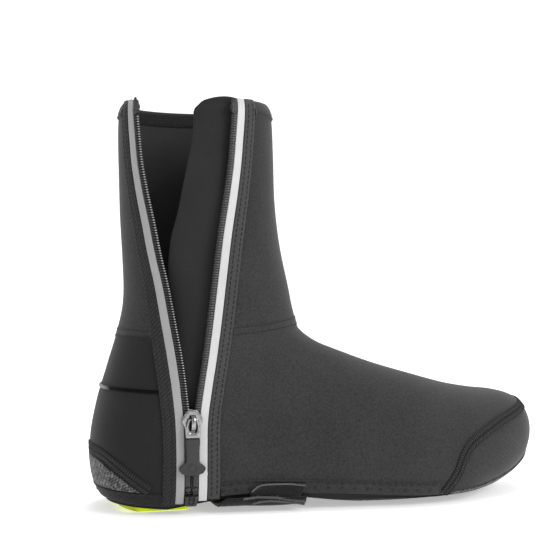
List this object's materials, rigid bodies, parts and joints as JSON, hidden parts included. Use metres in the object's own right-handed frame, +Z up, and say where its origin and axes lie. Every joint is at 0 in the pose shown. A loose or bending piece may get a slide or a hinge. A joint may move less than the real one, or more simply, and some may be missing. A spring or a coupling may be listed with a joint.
{
  "type": "cycling overshoe",
  "caption": "Insulating cycling overshoe for the right foot with its side zip open, a storm flap, taped seams and a hook and loop strap under the arch.",
  "frame": {"origin": "middle of the footprint on the floor", "axes": "+X to the toe, +Y to the inner side of the foot, +Z up"},
  "size_m": [0.2945, 0.1078, 0.2475],
  "materials": {
    "neoprene": "matte knitted face on foam rubber",
    "aramid": "coarse grey and black weave",
    "sole_rubber": "dull black",
    "heel_yellow": "satin",
    "seam": "flat stitched band",
    "reflective": "retroreflective satin",
    "binding": "ribbed tape",
    "zip_tape": "woven tape",
    "zip_plastic": "satin",
    "slider_metal": "nickel plated",
    "pull_rubber": "soft matt",
    "lining": "brushed knit",
    "strap": "hook and loop pile"
  },
  "bodies": {
    "shoe": {"upper": "neoprene", "outsole": "sole_rubber", "heel_pad": "heel_yellow", "ankle_seam": "seam", "toe_seam": "seam", "heel_seam": "seam", "heel_piping": "reflective", "heel_patch": "aramid", "toe_patch": "aramid", "tape_rear": "zip_tape", "tape_front": "zip_tape", "teeth_rear": "zip_plastic", "teeth_front": "zip_plastic", "reflective_rear": "reflective", "reflective_front": "reflective", "binding_rear": "binding", "binding_front": "binding", "zip_box": "zip_plastic", "storm_flap": "lining", "zip_slider": "slider_metal", "strap_loop": "strap", "strap_hook": "strap"},
    "zip_pull": {"pull_link": "slider_metal", "pull_tab": "pull_rubber"}
  },
  "joints": [
    {"name": "pull_hinge", "type": "hinge", "parent": "shoe", "child": "zip_pull", "pos_m": [-0.09249, -0.04495, 0.05656], "axis": [-0.9993, -0.0362, 0.0103], "range_deg": [0, 150]}
  ]
}
